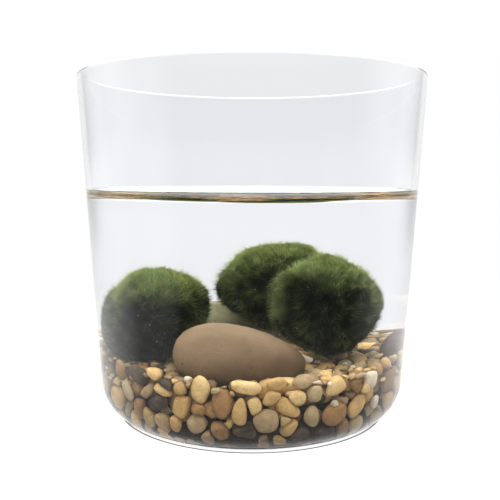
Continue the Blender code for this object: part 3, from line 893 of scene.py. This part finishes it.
def settled(pebbles, solids, draw):
    """Places and radii of loose pebbles, spread by pushing apart until they fill the bed evenly."""
    halves = column(pebbles, "half")
    ends = column(pebbles, "axes")[:, 0] * np.maximum(0.0, halves[:, 0] - halves[:, 2])[:, None]
    fixed = np.concatenate([column(pebbles, "centre") + share * ends for share in (-1, 0, 1)])
    fixed_radius = np.tile(np.sqrt(halves[:, 1] * halves[:, 2]), 3)
    radius = draw.uniform(*GRAVEL_RADIUS, GRAVEL_COUNT)
    angle = draw.uniform(0, 2 * np.pi, GRAVEL_COUNT)
    reach = GRAVEL_REACH * np.sqrt(draw.uniform(0, 1, GRAVEL_COUNT))
    height = draw.uniform(FLOOR, GRAVEL_TOP, GRAVEL_COUNT)
    place = np.stack([reach * np.cos(angle), reach * np.sin(angle), height], 1)
    touch = radius[:, None] + np.concatenate([radius, fixed_radius])[None, :]
    for _ in range(SETTLING_ROUNDS):
        gap = place[:, None, :] - np.concatenate([place, fixed])[None, :, :]
        distance = np.linalg.norm(gap, axis=2) + 1e-9
        overlap = np.clip(touch - distance, 0, None)
        np.fill_diagonal(overlap, 0)
        push = (gap / distance[:, :, None] * overlap[:, :, None]).sum(1) * PUSH_SHARE
        place += np.clip(push, -LONGEST_PUSH, LONGEST_PUSH)
        for point, clear in zip(place, 0.75 * radius):
            for tree in solids:
                normal, outside = signed_gap(tree, Vector(point))
                if outside < clear:
                    point += np.array(normal) * (clear - outside)
        place[:, 2] = np.clip(place[:, 2], FLOOR + 0.8 * radius, bed_top(*place[:, :2].T) - 0.55 * radius)
        keep_inside(place, 0.8 * radius)
    return place, radius


def choose(shares, draw):
    """One of the kinds of stone, drawn by their shares."""
    weights = np.array(list(shares.values()), float)
    return list(shares)[draw.choice(len(shares), p=weights / weights.sum())]


def flat_axes(tilt, turn):
    """Axes of a pebble that lies nearly flat: length, thickness, width."""
    spin = Matrix.Rotation(tilt, 3, "X") @ Matrix.Rotation(turn, 3, "Z")
    return np.array(spin)[[0, 2, 1]]


def loose_pebbles(pebbles, solids, draw):
    """The rest of the bed: flat side to the glass at the wall, and flat side up on the top."""
    for centre, size in zip(*settled(pebbles, solids, draw)):
        kind = choose(STONE_SHARES, draw)
        turn = draw.uniform(0, np.pi)
        if from_wall(centre) < 1.3 * size:
            axes = turned_axes(wall_axes(centre), turn)
        elif centre[2] > bed_top(*centre[:2]) - 1.6 * size:
            axes = flat_axes(draw.uniform(-0.45, 0.45), turn)
        else:
            axes = np.array(Matrix.Rotation(turn, 3, Vector(draw.normal(size=3)).normalized()))
        half = size * draw.uniform((1.2, 0.7, 0.9), (1.95, 0.95, 1.2))
        form = (draw.uniform(2.0, 2.9), draw.uniform(0.0, 0.3))
        pebbles.append(Pebble(centre, axes, half, *form, kind, 1.0, draw.uniform(0, 1)))


def chips(pebbles, solids, draw):
    """Small flat chips in the hollows of the bed's top, each let down until it rests on its neighbours."""
    centres = column(pebbles, "centre")
    radius = np.prod(column(pebbles, "half"), axis=1) ** (1 / 3)
    placed_chips = []
    for _ in range(CHIP_TRIES):
        size = draw.uniform(*CHIP_RADIUS)
        reach = (float(inside_radius(GRAVEL_TOP)) - 1.2 * size) * math.sqrt(draw.uniform(0, 1))
        angle = draw.uniform(0, 2 * math.pi)
        spot = np.array([reach * math.cos(angle), reach * math.sin(angle)])
        away = ((centres[:, :2] - spot) ** 2).sum(1)
        under = away < (radius + 0.5 * size) ** 2
        if not under.any():
            continue
        height = (centres[under, 2] + np.sqrt((radius[under] + 0.5 * size) ** 2 - away[under])).max()
        kind = choose(CHIP_SHARES, draw)
        axes = flat_axes(draw.uniform(-0.5, 0.5), draw.uniform(0, math.pi))
        half = size * draw.uniform((1.1, 0.45, 0.8), (1.6, 0.7, 1.1))
        form = (draw.uniform(2.2, 3.2), draw.uniform(0.0, 0.3), kind, 1.0, draw.uniform(0.2, 1))
        place = np.array([*spot, height])
        crowded = any(np.linalg.norm(place - other) < 1.3 * size for other in placed_chips)
        if crowded or height > bed_top(*spot) + 0.3 * MM:
            continue
        if min(signed_gap(tree, Vector(place))[1] for tree in solids) > 0.7 * size:
            placed_chips.append(place)
            pebbles.append(Pebble(place, axes, half, *form))


def pebble_shapes(pebbles, solids, draw):
    """Each pebble's points and triangles, pressed back where a neighbour, the glass or a stone is."""
    centres, axes, firm = (column(pebbles, field) for field in ("centre", "axes", "firm"))
    halves = column(pebbles, "half") * PRESS
    spheres = {level: icosphere(level) for level in (1, 2, 3)}
    for index, (centre, half, pebble) in enumerate(zip(centres, halves, pebbles)):
        deep = from_wall(centre) > 9 * MM and bed_top(*centre[:2]) - centre[2] > 9 * MM
        near_front = from_wall(centre) < 6 * MM and centre[1] < 0
        ball, faces = spheres[1 if deep else 3 if near_front else 2]
        sway = noise_of(ball, 0.9, (index * 1.7, 0, 0)) * 0.10
        sway += noise_of(ball, 0.45, (0, index * 1.3, 0)) * 0.035
        shape = ball / (np.abs(ball) ** pebble.fullness).sum(1, keepdims=True) ** (1 / pebble.fullness)
        shape = shape * (1 + sway)[:, None]
        shape[:, 1:] *= 1 - pebble.taper * shape[:, :1]
        offset = (shape * half) @ pebble.axes
        squeeze = np.zeros(len(offset))

        def press(normal, room):
            ratio = np.clip(offset @ normal / max(room, 0.3 * MM), 0, 4)
            squeeze[:] += ratio**CLIP_POWER

        for _ in range(draw.integers(2, 6)):
            facing = unit(draw.normal(size=3))
            press(facing, draw.uniform(*WORN_FLAT) * (offset @ facing).max())
        gap = centres - centre
        distance = np.linalg.norm(gap, axis=1)
        for other in np.argsort(distance)[1:32]:
            normal = gap[other] / distance[other]
            mine = np.linalg.norm(half * (pebble.axes @ normal))
            theirs = np.linalg.norm(halves[other] * (axes[other] @ normal))
            if mine + theirs > 0.95 * distance[other]:
                weight = mine * firm[index] / (mine * firm[index] + theirs * firm[other])
                press(normal, min(mine, max(distance[other] * weight, distance[other] - theirs)) - GRAVEL_GAP)
        for tree in solids:
            _, normal, _, away = tree.find_nearest(Vector(centre))
            if away < half.max():
                press(-np.array(normal), away - GRAVEL_GAP)
        press((0.0, 0.0, -1.0), centre[2] - FLOOR - GRAVEL_GAP)
        points = centre + offset / ((1 + squeeze) ** (1 / CLIP_POWER))[:, None]
        keep_inside(points, GRAVEL_GAP)
        yield index, pebble, points, faces


def painted_shade_of(points, stones):
    """How much painted shade, with some silt, darkens each point: most where it touches a stone or a ball,
    none out of reach.
    """
    centre = Vector(points.mean(0))
    size = np.linalg.norm(points - points.mean(0), axis=1).max()
    painted_shade = np.zeros(len(points))
    for tree, reach in stones:
        if tree.find_nearest(centre)[3] < size + reach:
            away = np.array([tree.find_nearest(Vector(point))[3] for point in points])
            painted_shade = np.maximum(painted_shade, np.clip(1 - away / reach, 0, 1))
    return painted_shade


def gravel(materials):
    """All of the gravel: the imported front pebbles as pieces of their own, the rest as joined meshes."""
    draw = np.random.default_rng(5)
    solids = [node_tree_of(name) for name in (*MOSS_NODES.values(), *LARGER_STONES)]
    stones = [(node_tree_of(name), reach) for name, reach in PAINTED_SHADE_REACH.items()]
    pebbles = [*front_pebbles(), *glass_pebbles()]
    loose_pebbles(pebbles, solids, draw)
    chips(pebbles, solids, draw)
    painted_shading = range(len(FRONT_PEBBLES), len(pebbles))
    pebbles += top_pebbles()
    kinds = list(STONE_COLOURS)
    beds = {"gravel_front": [], "gravel_back": []}
    for index, pebble, points, faces in pebble_shapes(pebbles, solids, draw):
        painted_shade = painted_shade_of(points, stones) if index in painted_shading else np.zeros(len(points))
        shade = np.full(len(points), pebble.shade)
        if index < len(FRONT_PEBBLES):
            number = f"pebble_{index + 1:02d}"
            piece = from_arrays(f"front_{number}", points, faces, {"shade": shade, "painted_shade": painted_shade})
            dress(piece, pebble.kind, [materials[pebble.kind]], number)
            continue
        bed = beds["gravel_front" if points[:, 1].mean() < 0 else "gravel_back"]
        bed.append((points, faces, np.full(len(faces), kinds.index(pebble.kind)), shade, painted_shade))
    for name, members in beds.items():
        points, faces, *rest = zip(*members)
        starts = np.cumsum([0] + [len(part) for part in points])
        faces = np.concatenate([part + start for part, start in zip(faces, starts)])
        slots, shade, painted_shade = (np.concatenate(parts) for parts in rest)
        piece = from_arrays(name, np.concatenate(points), faces, {"shade": shade, "painted_shade": painted_shade}, slots)
        dress(piece, "gravel", [materials[kind] for kind in kinds], "gravel_bed")


def painted_shade_fill():
    """Painted shade between the pebbles: a dark bowl that shows only in the gaps of the outer layer, and
    keeps out light from below.
    """
    outline = np.array([(0.0, FLOOR)] + inside_corner() + wall(CORNER_HEIGHT, SHADE_FILL_TOP, WALL, 4))
    along = unit(np.gradient(outline, axis=0))
    inward = np.stack([-along[:, 1], along[:, 0]], 1)
    inset = SHADE_FILL_INSET * np.clip(outline[:, 1:] - FLOOR - SHADE_FILL_SHOWN, 0.06 * MM, 3 * MM) / (3 * MM)
    under = outline + inward * inset
    over = under + inward * SHADE_FILL_DEPTH
    under[0, 0] = over[0, 0] = 0.0
    profile = [tuple(point) for point in np.concatenate([under, over[::-1]])]
    finish, tree, shader = material("gravel_shade_fill")
    grain = tree.noise(0.5 * MM, 3.0, 0.7)
    colour = tree.ramp(grain, [(0.4, linear((34, 28, 22))), (0.7, linear((78, 64, 48)))])
    under_water(tree, shader, colour, 0.8, tree.bump(grain, 0.8, 0.4 * MM))
    dress(turned("gravel_shade_fill", profile), "gravel", [finish], "gravel_bed")


# ---- studio


def camera():
    data = bpy.data.cameras.new("camera")
    data.lens = CAMERA_LENS
    data.sensor_width = CAMERA_SENSOR
    data.clip_start = 0.01
    made = placed("camera", data)
    turn = Matrix.Rotation(math.radians(CAMERA_YAW), 4, "Z")
    turn @= Matrix.Rotation(math.radians(90 - CAMERA_PITCH), 4, "X")
    turn @= Matrix.Rotation(math.radians(CAMERA_ROLL), 4, "Z")
    made.matrix_world = Matrix.Translation(CAMERA_PLACE) @ turn
    bpy.context.scene.camera = made


def room():
    """White light from all round, stronger from above, and weak from the low front."""
    world = bpy.data.worlds.new("studio")
    bpy.context.scene.world = world
    tree = Tree(world)
    way = tree.add("TexCoord").outputs["Generated"]
    x, y, height = tree.add("SeparateXYZ", {0: way}).outputs
    low = tree.steps(height, *LOW_RISE, LOW_LIGHT, 1.0)
    side = tree.math("MULTIPLY", low, tree.steps(height, *SIDE_RISE, 1.0, SIDE_LIGHT))
    around = tree.blend(tree.steps(y, *BACK_EDGE), side, low)
    above = tree.blend(tree.steps(height, *LAMP_RISE), TOP_LIGHT, LAMP_LIGHT)
    strength = tree.blend(tree.steps(height, *TOP_RISE), around, above)
    front = tree.steps(tree.along(way, FRONT_WAY), *FRONT_EDGE)
    front = tree.math("MULTIPLY", front, tree.steps(height, *FRONT_RISE, 1.0, 0.0))
    strength = tree.blend(front, strength, tree.steps(height, *NEAR_RISE, NEAR_LIGHT, FRONT_LIGHT))
    window = tree.steps(tree.along(way, WINDOW_WAY), *WINDOW_EDGE)
    strength = tree.blend(window, strength, WINDOW_LIGHT)
    haze = tree.math("MULTIPLY", tree.steps(height, *HAZE_RISE), tree.steps(height, *HAZE_FALL, 1.0, 0.0))
    aside = tree.math("ABSOLUTE", x)
    haze = tree.math("MULTIPLY", haze, tree.steps(aside, *HAZE_EDGE, HAZE, 0.0))
    strength = tree.math("MULTIPLY", strength, tree.math("SUBTRACT", 1.0, haze))
    tree.fill(tree.nodes["Background"], {"Color": WHITE, "Strength": strength})


def studio_floor():
    """The table under the foot, with painted light: a glow in a ring round the foot."""
    form = bmesh.new()
    bmesh.ops.create_circle(form, cap_ends=True, segments=128, radius=FLOOR_RADIUS)
    piece = from_bmesh("studio_floor", form)
    made, tree, shader = material("floor")
    tone = tree.steps(tree.noise(0.05, 2.0), 0.3, 0.7, FLOOR_TONE - 0.01, FLOOR_TONE + 0.01)
    # Painted light: the table glows in a ring round the foot, though it is no lamp.
    reach = tree.add("VectorMath", {0: tree.place()}, operation="LENGTH").outputs["Value"]
    outer = tree.steps(reach, *FLOOR_RING[2:], FLOOR_PAINTED_GLOW, 0.0)
    glow = tree.math("MULTIPLY", tree.steps(reach, *FLOOR_RING[:2]), outer)
    tree.fill(shader, {"Base Color": tree.grey(tone), "Roughness": 0.9})
    tree.fill(shader, {"Emission Color": WHITE, "Emission Strength": glow})
    piece.data.materials.append(made)


def looks():
    scene = bpy.context.scene
    scene.view_settings.view_transform = "Standard"
    scene.cycles.max_bounces = scene.cycles.transmission_bounces = 24


def main():
    camera()
    room()
    studio_floor()
    looks()
    jar()
    water()
    moss = [moss_material(), speck_material()]
    for seed, (name, node_name) in enumerate(MOSS_NODES.items(), 1):
        moss_ball(name, node_name, seed, moss)
    # Painted shade on the large stone's low right side.
    painted_shade = ((-0.35, 0.0, 1.0), 24 * MM, 42 * MM)
    tones = ((168, 142, 110), (142, 118, 90), (112, 66, 46))
    large = stone_material("large_stone", *tones, 16 * MM, 0.55, 3 * MM, painted_shade)
    tones = ((130, 114, 108), (96, 84, 80), (146, 130, 120))
    dark = stone_material("dark_stone", *tones, 7 * MM, 0.6, 2 * MM)
    # Painted shade on the slate's low right side.
    painted_shade = ((-0.6, 0.0, 0.9), 29 * MM, 38 * MM)
    tones = ((186, 180, 142), (150, 142, 110), (160, 148, 126))
    slate = stone_material("slate_stone", *tones, 9 * MM, 0.65, 2 * MM, painted_shade)
    fine_stone("smooth_pebble", "large_pebble", "pebble", large, 2, 0.35 * MM, 7 * MM, 3)
    fine_stone("mauve_pebble", "dark_pebble", "dark", dark, 3, 0.4 * MM, 5 * MM, 5)
    fine_stone("flat_stone", "slate_stone", "slate", slate, 3, 0.5 * MM, 6 * MM, 7)
    gravel({kind: gravel_material(kind) for kind in STONE_COLOURS})
    painted_shade_fill()


main()
